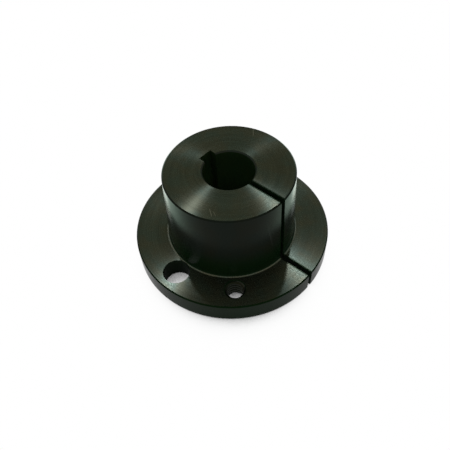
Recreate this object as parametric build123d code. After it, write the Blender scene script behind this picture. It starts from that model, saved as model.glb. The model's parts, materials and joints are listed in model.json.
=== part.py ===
from build123d import *
import math
import os

# Tapered hub: one piece of turned steel, a flange with a tapered barrel standing on it.
# The barrel wedges into a tapered bore as the flange's screws draw it in, and the
# saw cut down one side lets it close on its shaft.
# Millimetres. +Z is the axis, towards the barrel's small end, and Z = 0 is the
# flange's outer face. The keyway faces -X.

# Barrel
barrel_length = 25.4
barrel_large_diameter = 41.5
taper_per_length = 0.0625  # loss of diameter for each mm of length: 3/4 in to the foot
root_fillet = 0.8

# Flange
flange_thickness = 7.0
edge_break = 0.4  # on the rim's two edges and on the nose

# Shaft bore and keyway
bore_diameter = 15.875
bore_chamfer = 0.4
keyway_width = 4.7625
keyway_depth = 2.38  # measured at the keyway's side, from where it leaves the bore
keyway_angle = 180.0

# Saw cut through barrel and flange, a little off the keyway's own line
split_width = 1.6
split_angle = 2.4

# Plain holes for the cap screws that draw the hub in
screw_hole_count = 2
screw_hole_diameter = 8.5
screw_hole_angle = -90.0
hole_to_barrel = 0.4  # metal between a screw hole and the barrel's foot
hole_to_rim = 2.1  # metal between a screw hole and the flange's rim

# Holes for the jack screws that push the hub out again, cut at the thread's full diameter
jack_hole_count = 2
jack_hole_diameter = 6.35
jack_hole_chamfer = 0.2
jack_hole_angle = -45.0

# Sizes that follow from those above
overall_length = flange_thickness + barrel_length
barrel_large_radius = barrel_large_diameter / 2
barrel_small_radius = barrel_large_radius - barrel_length * taper_per_length / 2
bolt_circle_radius = barrel_large_radius + hole_to_barrel + screw_hole_diameter / 2
flange_radius = bolt_circle_radius + screw_hole_diameter / 2 + hole_to_rim
bore_radius = bore_diameter / 2
keyway_floor = math.sqrt(bore_radius**2 - (keyway_width / 2) ** 2) + keyway_depth
overrun = flange_thickness / 2  # how far a cutter runs past the metal


def corner(section, place):
    """The section's corner at a place."""
    return section.vertices().sort_by_distance(place)[0]


def turned_section():
    """Half of the hub's section, in the XZ plane, as it comes off the lathe."""
    outline = Polyline(
        (bore_radius, 0),
        (flange_radius, 0),
        (flange_radius, flange_thickness),
        (barrel_large_radius, flange_thickness),
        (barrel_small_radius, overall_length),
        (bore_radius, overall_length),
        close=True,
    )
    section = fillet(corner(make_face(outline), (barrel_large_radius, flange_thickness)), root_fillet)
    for radius, height in (
        (flange_radius, 0),
        (flange_radius, flange_thickness),
        (barrel_small_radius, overall_length),
    ):
        section = chamfer(corner(section, (radius, height)), edge_break)
    for height in (0, overall_length):
        section = chamfer(corner(section, (bore_radius, height)), bore_chamfer)
    return Plane.XZ * section


def slot_cutter(reach, width, angle):
    """A bar from the axis out to reach, as long as the hub, turned to angle."""
    bar = Box(reach, width, overall_length + 2 * overrun, align=(Align.MIN, Align.CENTER, Align.MIN))
    return Rot(0, 0, angle) * Pos(0, 0, -overrun) * bar


def around_bolt_circle(cutter, count, start):
    """Copies of a hole's cutter, evenly spaced round the bolt circle."""
    return [place * cutter for place in PolarLocations(bolt_circle_radius, count, start)]


def screw_hole_cutter():
    height = flange_thickness + 2 * overrun
    return Pos(0, 0, -overrun) * Cylinder(
        screw_hole_diameter / 2, height, align=(Align.CENTER, Align.CENTER, Align.MIN)
    )


def jack_hole_cutter():
    radius = jack_hole_diameter / 2
    mouth = radius + jack_hole_chamfer
    profile = Polyline(
        (0, 0),
        (mouth, 0),
        (radius, jack_hole_chamfer),
        (radius, flange_thickness - jack_hole_chamfer),
        (mouth, flange_thickness),
        (0, flange_thickness),
        close=True,
    )
    return revolve(Plane.XZ * make_face(profile), Axis.Z)


hub = revolve(turned_section(), Axis.Z)
hub -= slot_cutter(keyway_floor, keyway_width, keyway_angle)
hub -= slot_cutter(flange_radius + overrun, split_width, split_angle)
hub -= around_bolt_circle(screw_hole_cutter(), screw_hole_count, screw_hole_angle)
hub -= around_bolt_circle(jack_hole_cutter(), jack_hole_count, jack_hole_angle)

os.makedirs("parts", exist_ok=True)
export_step(hub, "parts/tapered_hub.step")
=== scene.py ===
import bmesh
import bpy
import json
import math
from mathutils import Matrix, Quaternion, Vector


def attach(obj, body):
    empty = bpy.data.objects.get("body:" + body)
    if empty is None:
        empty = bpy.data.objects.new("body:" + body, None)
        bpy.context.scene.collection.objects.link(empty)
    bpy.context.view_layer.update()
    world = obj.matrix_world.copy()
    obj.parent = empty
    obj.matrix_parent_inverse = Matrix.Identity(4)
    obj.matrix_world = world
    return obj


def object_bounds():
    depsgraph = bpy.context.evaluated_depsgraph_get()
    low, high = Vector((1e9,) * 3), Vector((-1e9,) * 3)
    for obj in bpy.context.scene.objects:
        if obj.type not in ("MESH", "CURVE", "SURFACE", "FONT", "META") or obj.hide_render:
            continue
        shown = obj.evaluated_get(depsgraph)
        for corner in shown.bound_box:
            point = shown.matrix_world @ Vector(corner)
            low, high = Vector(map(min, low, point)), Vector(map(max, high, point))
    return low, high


# Tapered hub, in metres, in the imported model's own frame. The turned solid stays as the
# frame has it and gets its blackened finish here. The threads in the two jack holes are
# modelled here, and so are the camera, the floor, the sky and the lamps.

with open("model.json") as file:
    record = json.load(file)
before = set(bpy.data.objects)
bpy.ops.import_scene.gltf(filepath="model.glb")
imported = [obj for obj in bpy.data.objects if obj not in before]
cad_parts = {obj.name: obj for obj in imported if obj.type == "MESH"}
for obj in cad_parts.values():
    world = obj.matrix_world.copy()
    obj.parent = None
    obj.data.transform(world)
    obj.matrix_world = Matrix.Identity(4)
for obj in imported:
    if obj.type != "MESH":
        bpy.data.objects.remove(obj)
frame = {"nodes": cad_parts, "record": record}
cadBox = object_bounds()
hub = frame["nodes"]["tapered_hub"]
mounts = {mount["name"]: mount for mount in frame["record"]["mounts"]}
mm = 0.001

# Sizes that the finish and the threads need, read from the frame
hubTop = cadBox[1].z
flangeTop = mounts["screw_holes"]["pos_m"][2]
boreRadius = mounts["shaft_bore"]["dims"]["r_mm"] * mm
print("Frame loaded: hub", round(hubTop / mm, 2), "mm high")


# Node helpers

# Adds a node with its settings made, and its inputs set or wired
def addNode(tree, kind, inputs=None, **settings):
    node = tree.nodes.new(kind)
    for name, value in settings.items():
        setattr(node, name, value)
    for name, value in (inputs or {}).items():
        if isinstance(value, bpy.types.NodeSocket):
            tree.links.new(value, node.inputs[name])
        else:
            node.inputs[name].default_value = value
    return node


def calc(tree, operation, first, second=0.0, third=0.0):
    inputs = {0: first, 1: second, 2: third}
    return addNode(tree, "ShaderNodeMath", inputs, operation=operation).outputs[0]


def product(tree, first, *others):
    for other in others:
        first = calc(tree, "MULTIPLY", first, other)
    return first


def vectorCalc(tree, operation, first, second=(0, 0, 0)):
    inputs = {0: first, 1: second}
    node = addNode(tree, "ShaderNodeVectorMath", inputs, operation=operation)
    return node.outputs["Value" if operation in ("LENGTH", "DOT_PRODUCT") else "Vector"]


def component(tree, vector, axis):
    return addNode(tree, "ShaderNodeSeparateXYZ", {0: vector}).outputs[axis]


# Eases from atLow to atHigh as a value goes from low to high
def ease(tree, value, low, high, atLow=0.0, atHigh=1.0):
    inputs = {"Value": value, "From Min": low, "From Max": high, "To Min": atLow, "To Max": atHigh}
    return addNode(tree, "ShaderNodeMapRange", inputs, interpolation_type="SMOOTHSTEP").outputs[0]


def mixNumbers(tree, amount, first, second):
    inputs = {0: amount, 2: first, 3: second}
    return addNode(tree, "ShaderNodeMix", inputs, data_type="FLOAT").outputs[0]


def mixColours(tree, amount, first, second, way="MIX"):
    inputs = {0: amount, 6: first, 7: second}
    return addNode(tree, "ShaderNodeMix", inputs, data_type="RGBA", blend_type=way).outputs[2]


# A colour made lighter or darker by a level
def shadeColour(tree, colour, level):
    levels = addNode(tree, "ShaderNodeCombineXYZ", {0: level, 1: level, 2: level}).outputs[0]
    return mixColours(tree, 1.0, colour, levels, "MULTIPLY")


def noise(tree, place, scale, detail=2.0, roughness=0.5):
    inputs = {"Vector": place, "Scale": scale, "Detail": detail, "Roughness": roughness}
    return addNode(tree, "ShaderNodeTexNoise", inputs).outputs["Fac"]


# The place on a piece, in millimetres
def placeInMm(tree):
    place = addNode(tree, "ShaderNodeTexCoord").outputs["Object"]
    return vectorCalc(tree, "MULTIPLY", place, (1 / mm,) * 3)


# A bump from a relief given in millimetres
def bumpInMm(tree, relief):
    inputs = {"Height": relief, "Distance": mm, "Strength": 1.0}
    return addNode(tree, "ShaderNodeBump", inputs).outputs[0]


# Starts a node group and gives its tree, the sockets it is given and those it makes
def startGroup(name, inputs, outputs):
    tree = bpy.data.node_groups.new(name, "ShaderNodeTree")
    for label, kind in inputs:
        tree.interface.new_socket(name=label, in_out="INPUT", socket_type="NodeSocket" + kind)
    for label, kind in outputs:
        tree.interface.new_socket(name=label, in_out="OUTPUT", socket_type="NodeSocket" + kind)
    return tree, tree.nodes.new("NodeGroupInput").outputs, tree.nodes.new("NodeGroupOutput").inputs


def useGroup(tree, group, inputs):
    return addNode(tree, "ShaderNodeGroup", inputs, node_tree=group).outputs


def startMaterial(name):
    material = bpy.data.materials.new(name)
    material.use_nodes = True
    material.node_tree.nodes.clear()
    return material, material.node_tree


def addObject(name, data):
    item = bpy.data.objects.new(name, data)
    bpy.context.scene.collection.objects.link(item)
    return item


# Shared effects, as groups. Places and sizes in them are in millimetres.

# The fine grooves that a lathe tool leaves, spaced along Across and running round the axis
groovePlan = {
    "fineDetail": 2.0,
    "fineRoughness": 0.6,
    "bandStretch": (0.13, 0.6, 0.6),  # bands of many grooves are deeper or shallower
    "bandDetail": 3.0,
    "bandShare": 0.35,
}


def makeGrooveGroup(plan):
    tree, given, made = startGroup(
        "latheGrooves",
        (("Place", "Vector"), ("Across", "Float"), ("Pitch", "Float")),
        (("Height", "Float"),),
    )
    outward = vectorCalc(tree, "MULTIPLY", given["Place"], (1, 1, 0))
    outward = vectorCalc(tree, "NORMALIZE", outward)
    apart = addNode(tree, "ShaderNodeSeparateXYZ", {0: outward}).outputs
    step = calc(tree, "DIVIDE", given["Across"], given["Pitch"])
    grooved = addNode(tree, "ShaderNodeCombineXYZ", {0: step, 1: apart[0], 2: apart[1]}).outputs[0]
    fine = noise(tree, grooved, 1.0, plan["fineDetail"], plan["fineRoughness"])
    banded = vectorCalc(tree, "MULTIPLY", grooved, plan["bandStretch"])
    band = noise(tree, banded, 1.0, plan["bandDetail"])
    tree.links.new(mixNumbers(tree, plan["bandShare"], fine, band), made["Height"])
    return tree


# The uneven blackening of oiled steel: cloudy patches of warm and cool, and a fine grain
oxidePlan = {
    "patchScale": 0.16,
    "patchDetail": 3.0,
    "patchRoughness": 0.55,
    "patchSpan": (0.36, 0.64),  # from warm to cool
    "warm": (1.08, 0.98, 0.93, 1),
    "cool": (0.93, 1.01, 1.06, 1),
    "grainScale": 2.4,
    "grainDetail": 3.0,
    "grainRoughness": 0.6,
}


def makeOxideGroup(plan):
    tree, given, made = startGroup(
        "unevenBlackening",
        (("Place", "Vector"), ("Colour", "Color"), ("Unevenness", "Float")),
        (("Colour", "Color"), ("Grain", "Float")),
    )
    place = given["Place"]
    patch = noise(tree, place, plan["patchScale"], plan["patchDetail"], plan["patchRoughness"])
    grain = noise(tree, place, plan["grainScale"], plan["grainDetail"], plan["grainRoughness"])
    warm = mixColours(tree, 1.0, given["Colour"], plan["warm"], "MULTIPLY")
    cool = mixColours(tree, 1.0, given["Colour"], plan["cool"], "MULTIPLY")
    tinted = mixColours(tree, ease(tree, patch, *plan["patchSpan"]), warm, cool)
    aboveMean = calc(tree, "SUBTRACT", grain, 0.5)
    level = calc(tree, "MULTIPLY_ADD", aboveMean, given["Unevenness"], 1.0)
    tree.links.new(shadeColour(tree, tinted, level), made["Colour"])
    tree.links.new(grain, made["Grain"])
    return tree


# One straight scratch, from one point to another
def makeScratchGroup():
    tree, given, made = startGroup(
        "scratch",
        (("Place", "Vector"), ("From", "Vector"), ("To", "Vector"), ("Width", "Float")),
        (("Mask", "Float"),),
    )
    line = vectorCalc(tree, "SUBTRACT", given["To"], given["From"])
    off = vectorCalc(tree, "SUBTRACT", given["Place"], given["From"])
    lineSquared = vectorCalc(tree, "DOT_PRODUCT", line, line)
    share = calc(tree, "DIVIDE", vectorCalc(tree, "DOT_PRODUCT", off, line), lineSquared)
    share = addNode(tree, "ShaderNodeClamp", {0: share}).outputs[0]
    along = addNode(tree, "ShaderNodeVectorMath", {0: line, "Scale": share}, operation="SCALE")
    distance = vectorCalc(tree, "LENGTH", vectorCalc(tree, "SUBTRACT", off, along.outputs[0]))
    tree.links.new(ease(tree, distance, given["Width"], 0.0), made["Mask"])
    return tree


latheGrooves = makeGrooveGroup(groovePlan)
unevenBlackening = makeOxideGroup(oxidePlan)
scratch = makeScratchGroup()
print("Shared effects made")


# The hub's finish. Its faces are faced off and catch the light in streaks, and its
# cylinders and tapers are turned finer and blacker. A pair of numbers tells where an
# effect starts and where it is full, in mm unless the note says otherwise.
hubFinish = {
    "facedColour": (0.088, 0.107, 0.090, 1),
    "turnedColour": (0.0030, 0.0096, 0.0028, 1),
    "facedRoughness": 0.25,
    "turnedRoughness": 0.15,
    "faced": (0.74, 0.84),  # how nearly a surface faces straight up or down
    "oxideIor": 1.09,  # the oil and oxide on the turned surfaces hardly shine head on
    "oxideTint": (0.86, 1.0, 0.90, 1),
    "streak": 0.93,  # how far a highlight is drawn out across the grooves
    "streakTurn": 0.25,  # of a full turn, from the grooves' own direction

    # The barrel: painted reflection makes it less green towards its nose; at a glance it is
    # brighter there, partly real gloss and partly painted sheen
    "outside": (18.0, 19.0),  # from the axis
    "nose": (10.0, 19.0),  # up the hub
    "noseReflectionColour": (0.0078, 0.0102, 0.0070, 1),
    "paintedSheenHeight": (19.0, 26.0),
    "glance": (0.33, 0.69),  # how far it is turned from the eye
    "edge": (0.74, 0.86),
    "edgeSheenColour": (0.41, 0.43, 0.41, 1),

    # Painted highlight: a light line on the fillet at the barrel's foot, above the flange
    "rootHighlightStart": (0.005, 0.02),
    "rootHighlightEnd": (0.20, 0.08),
    "rootHighlightColour": (0.19, 0.22, 0.21, 1),

    # The bore, which is painted lighter further down to stand in for light, with the chamfers at
    # its ends, and the holes in the flange
    "bore": (12.0, 11.0),
    "boreLightening": (31.0, 18.0),
    "boreColour": (0.0062, 0.0150, 0.0038, 1),
    "boreLitDeepColour": (0.0170, 0.0400, 0.0100, 1),
    "boreRoughness": 0.62,
    # Painted sheen: the chamfers at the bore's ends are painted lighter
    "mouthChamfer": 0.4,
    "mouthRim": (0.15, 0.03),  # outside the chamfer
    "mouthFoot": (-0.04, 0.03),  # above the chamfer's foot
    "mouthSheenColour": (0.017, 0.021, 0.015, 1),
    "holeRadius": (30.5, 30.0),
    "holeTop": (0.0, -0.2),  # above the flange
    "holeRoughness": 0.32,

    # Grooves and grain
    "groovePitch": 0.34,
    "grooveDepth": 0.0040,
    "grooveShade": 0.55,  # how much lighter and darker the grooves are
    "grainDepth": 0.0011,
    "grainSpan": (0.35, 0.65),  # of the grain's own value
    "grainRoughness": (0.88, 1.10),  # times the roughness, at its two ends
    "unevenness": 0.22,

    # Painted shade: beside the saw cut the faces are painted dark, standing in for the shade where
    # they round over
    "cutAngle": 2.4,  # degrees
    "cutHalfWidth": 0.8,
    "cutShadeBand": (0.52, 0.173),  # outside the cut
    "cutShadeStrength": 0.85,

    # Scratches on the nose: from, to and width
    "scratchColour": (0.34, 0.35, 0.32, 1),
    "scratchStrength": 0.8,
    "scratches": (
        ((-6.27, 18.17), (-4.38, 16.00), 0.16),
        ((6.39, -14.66), (8.56, -16.11), 0.14),
        ((7.98, -14.72), (9.39, -15.40), 0.12),
    ),
}


# Gives a pair of limits, counted from a size
def countedFrom(size, limits):
    return [size + limit for limit in limits]


# Where the painted highlight line at the barrel's foot is
def findRootHighlight(tree, plan, height):
    flange = flangeTop / mm
    start = ease(tree, height, *countedFrom(flange, plan["rootHighlightStart"]))
    return product(tree, start, ease(tree, height, *countedFrom(flange, plan["rootHighlightEnd"])))


# Where the chamfers at the bore's two ends are
def findMouths(tree, plan, height, radius):
    middle = hubTop / mm / 2
    fromMiddle = calc(tree, "ABSOLUTE", calc(tree, "SUBTRACT", height, middle))
    rim = countedFrom(boreRadius / mm + plan["mouthChamfer"], plan["mouthRim"])
    foot = countedFrom(middle - plan["mouthChamfer"], plan["mouthFoot"])
    return product(tree, ease(tree, radius, *rim), ease(tree, fromMiddle, *foot))


# Where the walls of the flange's holes are
def findHoles(tree, plan, height, radius):
    below = ease(tree, height, *countedFrom(flangeTop / mm, plan["holeTop"]))
    return product(tree, ease(tree, radius, *plan["holeRadius"]), below)


# Where the painted shade beside the saw cut goes
def findCutEdges(tree, plan, place):
    turn = math.radians(plan["cutAngle"])
    aside = vectorCalc(tree, "DOT_PRODUCT", place, (-math.sin(turn), math.cos(turn), 0))
    along = vectorCalc(tree, "DOT_PRODUCT", place, (math.cos(turn), math.sin(turn), 0))
    burr = countedFrom(plan["cutHalfWidth"], plan["cutShadeBand"])
    beside = ease(tree, calc(tree, "ABSOLUTE", aside), *burr)
    return product(tree, beside, calc(tree, "GREATER_THAN", along, 0.0))


def findScratches(tree, plan, place):
    top = (hubTop / mm,)
    found = None
    for start, end, width in plan["scratches"]:
        inputs = {"Place": place, "From": start + top, "To": end + top, "Width": width}
        mask = useGroup(tree, scratch, inputs)["Mask"]
        found = mask if found is None else calc(tree, "MAXIMUM", found, mask)
    return found


def makeHubFinish(plan):
    material, tree = startMaterial("blackenedTurnedSteel")
    place = placeInMm(tree)
    height = component(tree, place, 2)
    radius = vectorCalc(tree, "LENGTH", vectorCalc(tree, "MULTIPLY", place, (1, 1, 0)))
    normal = addNode(tree, "ShaderNodeTexCoord").outputs["Normal"]
    upright = calc(tree, "ABSOLUTE", component(tree, normal, 2))
    faced = ease(tree, upright, *plan["faced"])
    outside = ease(tree, radius, *plan["outside"])
    inBore = ease(tree, radius, *plan["bore"])

    # The oiled taper is glossier the further it is turned from the eye; this is partly real gloss
    # and partly painted sheen, kept to the upper barrel and painted lighter at its edges
    sheenedTaper = product(tree, outside, ease(tree, height, *plan["paintedSheenHeight"]))
    sheenedTaper = product(tree, sheenedTaper, calc(tree, "SUBTRACT", 1.0, faced))
    facing = addNode(tree, "ShaderNodeLayerWeight").outputs["Facing"]
    glance = product(tree, sheenedTaper, ease(tree, facing, *plan["glance"]))
    edge = product(tree, sheenedTaper, ease(tree, facing, *plan["edge"]))

    # Each layer of colour lies over those before it, where its mask is one
    # Painted reflection: the barrel is painted less green towards its nose
    nose = product(tree, ease(tree, height, *plan["nose"]), outside)
    # Painted light: the bore is painted lighter further down it
    boreLightening = ease(tree, height, *plan["boreLightening"])
    boreColour = mixColours(tree, boreLightening, plan["boreColour"], plan["boreLitDeepColour"])
    # Painted sheen: the chamfers at the bore's ends are painted lighter
    mouths = findMouths(tree, plan, height, radius)
    # Painted highlight: a light line along the fillet at the barrel's foot
    root = product(tree, findRootHighlight(tree, plan, height), faced)
    colour = plan["turnedColour"]
    for mask, layer in (
        (nose, plan["noseReflectionColour"]),
        # painted sheen at the barrel's glancing edges
        (edge, plan["edgeSheenColour"]),
        (inBore, boreColour),
        (mouths, plan["mouthSheenColour"]),
        (faced, plan["facedColour"]),
        (root, plan["rootHighlightColour"]),
    ):
        colour = mixColours(tree, mask, colour, layer)
    inputs = {"Place": place, "Colour": colour, "Unevenness": plan["unevenness"]}
    blackening = useGroup(tree, unevenBlackening, inputs)

    # Grooves on the faces, lighter and darker by turns
    across = mixNumbers(tree, faced, height, radius)
    inputs = {"Place": place, "Across": across, "Pitch": plan["groovePitch"]}
    grooves = useGroup(tree, latheGrooves, inputs)["Height"]
    aboveMean = calc(tree, "SUBTRACT", grooves, 0.5)
    shade = calc(tree, "MULTIPLY_ADD", aboveMean, plan["grooveShade"] * 2, 1.0)
    colour = shadeColour(tree, blackening["Colour"], mixNumbers(tree, faced, 1.0, shade))

    scratched = product(tree, findScratches(tree, plan, place), plan["scratchStrength"])
    colour = mixColours(tree, scratched, colour, plan["scratchColour"])
    # Painted shade: the faces are painted dark beside the saw cut
    cutEdgeShade = product(tree, findCutEdges(tree, plan, place), plan["cutShadeStrength"])
    colour = mixColours(tree, cutEdgeShade, colour, plan["turnedColour"])

    roughness = plan["turnedRoughness"]
    for mask, layer in (
        (findHoles(tree, plan, height, radius), plan["holeRoughness"]),
        (inBore, plan["boreRoughness"]),
        (faced, plan["facedRoughness"]),
    ):
        roughness = mixNumbers(tree, mask, roughness, layer)
    grain = ease(tree, blackening["Grain"], *plan["grainSpan"], *plan["grainRoughness"])
    roughness = product(tree, roughness, grain)

    relief = product(tree, grooves, plan["grooveDepth"])
    relief = calc(tree, "MULTIPLY_ADD", blackening["Grain"], plan["grainDepth"], relief)
    relief = product(tree, relief, faced)

    # The highlight is drawn out across the grooves, which run round the axis
    roundAxis = addNode(tree, "ShaderNodeTangent", direction_type="RADIAL", axis="Z").outputs[0]
    steel = addNode(
        tree,
        "ShaderNodeBsdfPrincipled",
        {
            "Base Color": colour,
            "Metallic": calc(tree, "MAXIMUM", faced, glance),
            "Roughness": roughness,
            "IOR": plan["oxideIor"],
            "Specular Tint": plan["oxideTint"],
            "Anisotropic": plan["streak"],
            "Anisotropic Rotation": plan["streakTurn"],
            "Tangent": roundAxis,
            "Normal": bumpInMm(tree, relief),
        },
    )
    addNode(tree, "ShaderNodeOutputMaterial", {"Surface": steel.outputs[0]})
    return material


hub.data.materials.clear()
hub.data.materials.append(makeHubFinish(hubFinish))
print("Hub finished")


# The threads in the jack holes: one ridge each, wound up the hole's wall
threadPlan = {
    "pitch": 1.27 * mm,
    "depth": 0.60 * mm,  # from the wall to the crest
    "crestWidth": 0.418 * mm,
    "rootWidth": 1.111 * mm,
    "sink": 0.05 * mm,  # how far the ridge's root goes into the wall
    "mouthRadius": 3.375 * mm,  # of the 45 degree countersink at each face
    "mouthDepth": 0.20 * mm,
    "stepsPerTurn": 48,
    "spareTurns": 2,  # wound past the flange, and cut off
    "sharpAngle": 30.0,  # degrees
    "weld": 1e-7,  # points closer than this are joined
    "colour": (0.035, 0.042, 0.033, 1),
    "unevenness": 0.6,
    "grainSpan": (0.3, 0.7),
    "grainRoughness": (0.37, 0.47),
    "grainDepth": 0.0015,  # mm
}


def windThread(name, hole, plan):
    wall = hole["dims"]["r_mm"] * mm
    turns = math.ceil(flangeTop / plan["pitch"]) + plan["spareTurns"]
    corners = (
        (wall + plan["sink"], -plan["rootWidth"] / 2),
        (wall - plan["depth"], -plan["crestWidth"] / 2),
        (wall - plan["depth"], plan["crestWidth"] / 2),
        (wall + plan["sink"], plan["rootWidth"] / 2),
    )
    bm = bmesh.new()
    section = [bm.verts.new((out, 0, up - plan["pitch"])) for out, up in corners]
    ring = [bm.edges.new((section[i], section[i - 1])) for i in range(len(section))]
    bmesh.ops.spin(
        bm,
        geom=section + ring,
        cent=(0, 0, 0),
        axis=(0, 0, 1),
        dvec=(0, 0, plan["pitch"] / plan["stepsPerTurn"]),
        angle=turns * 2 * math.pi,
        steps=turns * plan["stepsPerTurn"],
        use_merge=False,
    )
    bmesh.ops.remove_doubles(bm, verts=bm.verts, dist=plan["weld"])

    # The countersinks cut the ridge back near both faces
    for vert in bm.verts:
        depth = min(vert.co.z, flangeTop - vert.co.z)
        cone = plan["mouthRadius"] - max(depth, plan["mouthDepth"])
        out = vert.co.xy.length
        if out < cone:
            vert.co.x *= cone / out
            vert.co.y *= cone / out
    for up, way in ((plan["mouthDepth"], -1), (flangeTop - plan["mouthDepth"], 1)):
        bmesh.ops.bisect_plane(
            bm,
            geom=bm.verts[:] + bm.edges[:] + bm.faces[:],
            dist=plan["weld"] / 10,
            plane_co=(0, 0, up),
            plane_no=(0, 0, way),
            clear_outer=True,
        )
        bmesh.ops.holes_fill(bm, edges=[edge for edge in bm.edges if edge.is_boundary], sides=0)
    bmesh.ops.dissolve_degenerate(bm, dist=plan["weld"], edges=bm.edges)
    bmesh.ops.recalc_face_normals(bm, faces=bm.faces)
    bmesh.ops.translate(bm, verts=bm.verts, vec=(hole["pos_m"][0], hole["pos_m"][1], 0))

    mesh = bpy.data.meshes.new(name)
    bm.to_mesh(mesh)
    bm.free()
    mesh.shade_smooth()
    mesh.set_sharp_from_angle(angle=math.radians(plan["sharpAngle"]))
    return addObject(name, mesh)


def makeThreadFinish(plan):
    material, tree = startMaterial("blackenedThread")
    inputs = {"Place": placeInMm(tree), "Colour": plan["colour"], "Unevenness": plan["unevenness"]}
    blackening = useGroup(tree, unevenBlackening, inputs)
    grain = blackening["Grain"]
    steel = addNode(
        tree,
        "ShaderNodeBsdfPrincipled",
        {
            "Base Color": blackening["Colour"],
            "Metallic": 1.0,
            "Roughness": ease(tree, grain, *plan["grainSpan"], *plan["grainRoughness"]),
            "Normal": bumpInMm(tree, product(tree, grain, plan["grainDepth"])),
        },
    )
    addNode(tree, "ShaderNodeOutputMaterial", {"Surface": steel.outputs[0]})
    return material


threadFinish = makeThreadFinish(threadPlan)
for threadName, mountName in (("jackThreadA", "jack_thread_a"), ("jackThreadB", "jack_thread_b")):
    thread = windThread(threadName, mounts[mountName], threadPlan)
    thread.data.materials.append(threadFinish)
    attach(thread, "root")
print("Threads wound")


# The floor and the sky show white to the camera and in reflections. To all other light
# they are plain grey, so that they light the hub at a plain level.
floorPlan = {
    "halfWidth": 3.0,
    "drop": 0.02 * mm,  # below the hub's underside
    "shadowReach": 20.0 * mm,
    "shadowLean": 60.0,  # degrees, of the light that makes the hub's shadow, to the back
    "shadowFoot": 0.27,  # openness at which the shadow is full
    "shadowFade": 9.1,  # how fast it fades
    "shadowSamples": 24,
    "paint": 0.8,
}
skyPlan = {
    "light": 0.8,
    "ceiling": (0.238, 0.230, 0.155, 1),  # as the hub reflects it
    "ceilingSpan": (0.12, 0.40),  # sine of the height, from the white walls to the ceiling
}


# One for camera, glossy and transmission rays, and nought for the rest
def seenDirectly(tree):
    path = addNode(tree, "ShaderNodeLightPath").outputs
    seen = calc(tree, "MAXIMUM", path["Is Camera Ray"], path["Is Glossy Ray"])
    return calc(tree, "MAXIMUM", seen, path["Is Transmission Ray"])


# How brightly the floor shows: it darkens where the hub hides the light from the back
def makeShadow(tree, plan):
    lean = math.radians(plan["shadowLean"])
    back = math.sin(lean) * math.sqrt(0.5)  # shared evenly by -X and +Y
    towards = {0: -back, 1: back, 2: math.cos(lean)}
    toLight = addNode(tree, "ShaderNodeCombineXYZ", towards).outputs[0]
    inputs = {"Distance": plan["shadowReach"], "Normal": toLight}
    samples = plan["shadowSamples"]
    openness = addNode(tree, "ShaderNodeAmbientOcclusion", inputs, samples=samples).outputs["AO"]
    inputs = {"Value": openness, "From Min": plan["shadowFoot"]}
    openness = addNode(tree, "ShaderNodeMapRange", inputs).outputs[0]
    depth = calc(tree, "EXPONENT", product(tree, openness, -plan["shadowFade"]))
    return calc(tree, "SUBTRACT", 1.0, depth)


def makeFloor(plan):
    bm = bmesh.new()
    bmesh.ops.create_grid(bm, x_segments=1, y_segments=1, size=plan["halfWidth"])
    bmesh.ops.translate(bm, verts=bm.verts, vec=(0, 0, -plan["drop"]))
    mesh = bpy.data.meshes.new("floor")
    bm.to_mesh(mesh)
    bm.free()
    addObject("floor", mesh)

    material, tree = startMaterial("whiteFloor")
    inputs = {"Color": (1, 1, 1, 1), "Strength": makeShadow(tree, plan)}
    white = addNode(tree, "ShaderNodeEmission", inputs).outputs[0]
    grey = (plan["paint"],) * 3 + (1,)
    paint = addNode(tree, "ShaderNodeBsdfDiffuse", {"Color": grey}).outputs[0]
    inputs = {0: seenDirectly(tree), 1: paint, 2: white}
    surface = addNode(tree, "ShaderNodeMixShader", inputs).outputs[0]
    # From below, the floor lets the hub's underside show
    below = addNode(tree, "ShaderNodeNewGeometry").outputs["Backfacing"]
    clear = addNode(tree, "ShaderNodeBsdfTransparent").outputs[0]
    surface = addNode(tree, "ShaderNodeMixShader", {0: below, 1: surface, 2: clear}).outputs[0]
    addNode(tree, "ShaderNodeOutputMaterial", {"Surface": surface})
    mesh.materials.append(material)


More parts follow.
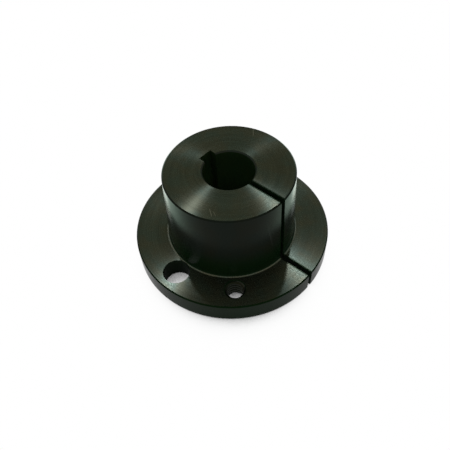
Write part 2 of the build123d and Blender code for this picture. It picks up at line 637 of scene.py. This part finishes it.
def makeSky(plan):
    sky = bpy.data.worlds.new("studioSky")
    sky.use_nodes = True
    tree = sky.node_tree
    tree.nodes.clear()
    path = addNode(tree, "ShaderNodeLightPath").outputs
    rise = component(tree, addNode(tree, "ShaderNodeTexCoord").outputs["Generated"], 2)
    overhead = ease(tree, rise, *plan["ceilingSpan"])
    mirrored = mixColours(tree, overhead, (1, 1, 1, 1), plan["ceiling"])
    plain = (plan["light"],) * 3 + (1,)
    colour = mixColours(tree, path["Is Glossy Ray"], plain, mirrored)
    background = calc(tree, "MAXIMUM", path["Is Camera Ray"], path["Is Transmission Ray"])
    colour = mixColours(tree, background, colour, (1, 1, 1, 1))
    light = addNode(tree, "ShaderNodeBackground", {"Color": colour, "Strength": 1.0})
    addNode(tree, "ShaderNodeOutputWorld", {"Surface": light.outputs[0]})
    bpy.context.scene.world = sky


makeFloor(floorPlan)
makeSky(skyPlan)


# Two small lamps stand behind the hub, left and right, and draw the streaks on its faces
lampPlan = {
    "leftLamp": {"place": (-0.171, 0.059, 0.324), "diameter": 0.012, "power": 0.064},
    "rightLamp": {"place": (-0.076, 0.156, 0.279), "diameter": 0.012, "power": 0.034},
}


def hangLamp(name, plan):
    data = bpy.data.lights.new(name, "AREA")
    data.shape = "DISK"
    data.size = plan["diameter"]
    data.energy = plan["power"]
    lamp = addObject(name, data)
    lamp.location = plan["place"]
    lamp.rotation_euler = (-lamp.location).to_track_quat("-Z", "Y").to_euler()


for lampName, lampSettings in lampPlan.items():
    hangLamp(lampName, lampSettings)
print("Floor, sky and lamps made")


# The camera stands where the photograph was taken from
cameraPlan = {
    "frame": 450,  # pixels, both ways
    "focalLength": 498.6,  # pixels
    "azimuth": 45.0,
    "elevation": 52.54,
    "distance": 0.17195,
    "aim": (-0.001573, -0.001573, 0.006491),
    "roll": -4.00,
    "clip": (0.01, 20.0),
}


def placeCamera(plan):
    data = bpy.data.cameras.new("camera")
    data.lens = plan["focalLength"] / plan["frame"] * data.sensor_width
    data.clip_start, data.clip_end = plan["clip"]
    camera = addObject("camera", data)
    turn = math.radians(plan["azimuth"])
    rise = math.radians(plan["elevation"])
    flat = math.cos(rise)
    outward = Vector((math.sin(turn) * flat, -math.cos(turn) * flat, math.sin(rise)))
    camera.location = outward * plan["distance"]
    look = (Vector(plan["aim"]) - camera.location).to_track_quat("-Z", "Y")
    camera.rotation_mode = "QUATERNION"
    camera.rotation_quaternion = look @ Quaternion((0, 0, 1), math.radians(plan["roll"]))
    bpy.context.scene.camera = camera


placeCamera(cameraPlan)
bpy.context.scene.view_settings.view_transform = "Standard"
print("Camera placed")
